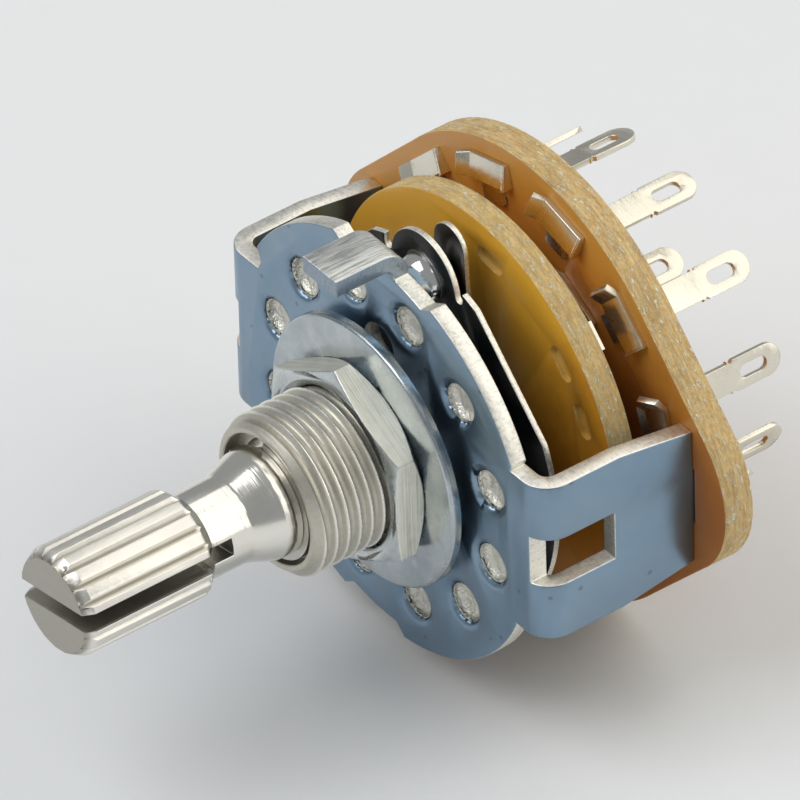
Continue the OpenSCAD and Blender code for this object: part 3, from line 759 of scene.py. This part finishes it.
def plate_finish(place, normal):
    """Which finish a facet of the plate has: rolled, sheared in one of three ways,
    beaten in the pockets, or brushed on the lug."""
    face, edge_along_y, edge_along_x, edge_along_z, pocket, lug_top = range(6)
    if abs(place.x) > ARM_FROM and abs(place.z) < ARM_HALF_W:
        window = abs(place.x) < WINDOW_FROM + 0.05 and abs(place.z) < WINDOW_HALF_W
        behind_bend = abs(normal.y) > SQUARELY and place.y > SHEET_T + 0.2
        if abs(normal.z) > FACING or behind_bend:
            return edge_along_x
        return edge_along_y if window and abs(normal.x) > SQUARELY else face
    if place.z > LUG_FROM and abs(place.x) < LUG_HALF_W + 0.02:
        tip = normal.y < -SQUARELY and place.y < LUG_TIP_FROM
        return edge_along_z if tip or abs(normal.x) > FACING else lug_top
    if pocket_distance(place) < POCKET_R + 0.02 and place.y > POCKET_FROM:
        return pocket
    return edge_along_y if abs(normal.y) < FACING else face


front_plate = soften("front_plate", 0.08, plate_roundness)
coat(front_plate, [
    rolled_zinc(),
    sheared_edge("sheared_rim", (8, 2, 8), (0.90, 0.88, 0.80)),
    sheared_edge("sheared_arm", (2, 8, 8), (0.90, 0.88, 0.81)),
    # Painted reflection: the lug's sheared sides get a blue-grey in place of a bright torn
    # band, for blue surroundings that they would mirror.
    sheared_edge("sheared_lug_painted_reflection", (8, 8, 2), (0.36, 0.43, 0.50)),
    hammered_pocket(),
    brushed_lug(),
], plate_finish)

# %% [markdown]
# ## The detent
# Two steel balls sit in a thin tempered leaf that turns with the shaft. A second leaf
# behind it presses them forward between the bumps. Both leaves are tempered dark on
# their faces and bright where they were sheared.

# %% The detent
leaf_finishes = [blued_steel(), sheared_edge("sheared_leaf", (8, 3, 8), (0.92, 0.89, 0.79))]


def face_or_rim(place, normal):
    """The first finish for the two faces of a sheet, the second for its rim."""
    return 0 if abs(normal.y) > FACING else 1


for leaf in ("ball_carrier", "detent_spring"):
    coat(soften(leaf, 0.04), leaf_finishes, face_or_rim)

# %% [markdown]
# ## Rotor and wafer
# The rotor turns with the shaft and the wafer is held still by the plate's arms. Both
# are punched from board, so each gets a smooth finish on its two faces and a torn one
# on its rim. The feet that hold the contact ring are pressed into the rotor's front, and
# their recesses show paler, because the tool crushed the laminate there.

# %% Rotor and wafer
ROTOR_FRONT = 6.1
ROTOR_T = 1.5
FEET_WITHIN_R = 10.5
SKIN = 0.05


def rotor_finish(place, normal):
    """The rotor's faces, its torn rim, and what is pressed or punched inside the disc."""
    inside = math.hypot(place.x, place.z) < FEET_WITHIN_R
    if inside and SKIN < place.y - ROTOR_FRONT < ROTOR_T - SKIN:
        return 2
    return face_or_rim(place, normal)


coat(soften("rotor_disc", 0.05), [
    phenolic_face("rotor_face", (0.52, 0.180, 0.012), (0.90, 0.46, 0.042), 0.02),
    phenolic_rim("rotor_rim", (0.88, 0.67, 0.31), (0.62, 0.40, 0.13)),
    phenolic_face("rotor_pressed", (0.62, 0.32, 0.04), (0.82, 0.52, 0.13), 0.05),
], rotor_finish)
coat(soften("stator_wafer", 0.06), [
    phenolic_face("wafer_face", (0.36, 0.120, 0.016), (0.60, 0.28, 0.045), 0.02),
    phenolic_rim("wafer_rim", (0.86, 0.64, 0.30), (0.56, 0.34, 0.11)),
], face_or_rim)

# %% [markdown]
# ## Terminals and the hidden metal
# Each terminal is one strip of tinned sheet that is pushed through the wafer: a solder
# blade behind it and a springy contact in front. They get only a hair of rounding, since
# such thin sheet is blanked clean. The balls are copied too, which welds the poles of
# their meshes. The snap rings, the spacer and the contact ring keep their CAD meshes and
# only get a finish, because hardly any of them shows.

# %% Terminals and the hidden metal
terminals = ["common_terminal"] + [f"terminal_{number:02d}" for number in range(1, POCKETS + 1)]
tin = tinned_brass()
for terminal in terminals:
    coat(soften(terminal, 0.03), [tin])

polished = ball_steel()
for ball in ("ball_upper", "ball_lower"):
    mesh = bmesh.new()
    mesh.from_mesh(frame["nodes"][ball].data)
    piece = finish_mesh(mesh, ball + "_finished")
    stand_in(piece, ball)
    coat(piece, [polished])

for finish, nodes in (
    (spring_wire(), ("retaining_ring", "shaft_clip", "rotor_spacer")),
    (tin, ("rotor_contact",)),
):
    for node in nodes:
        for holder in frame["nodes"][node].material_slots:
            holder.material = finish

# %% [markdown]
# ## The floor
# The switch rests with the rim of its wafer on a pale, matt sheet of card. The card is
# far wider than the view, so that it has no edge in the picture, and it hangs a hair
# below the switch, so that the two never share a face. It only stages the picture.

# %% The floor
def matt_card():
    card = Finish("matt_card", roughness=0.85)
    tooth = card.noise(card.at(0.35, 0.35, 0.35), 3, 0.6)
    colour = card.mix(tooth, (0.79, 0.80, 0.81), (0.81, 0.82, 0.83))
    return card.paint(colour, 0.85 + tooth * 0.05, tooth, 0.01)


FLOOR_HALF_SIZE = 1.5
FLOOR_GAP = 0.02

sheet = bmesh.new()
bmesh.ops.create_grid(sheet, x_segments=8, y_segments=8, size=FLOOR_HALF_SIZE)
data = bpy.data.meshes.new("floor")
sheet.to_mesh(data)
sheet.free()
floor = bpy.data.objects.new("floor", data)
floor.location.z = cad_box[0][2] - FLOOR_GAP * MM
bpy.context.scene.collection.objects.link(floor)
coat(floor, [matt_card()])
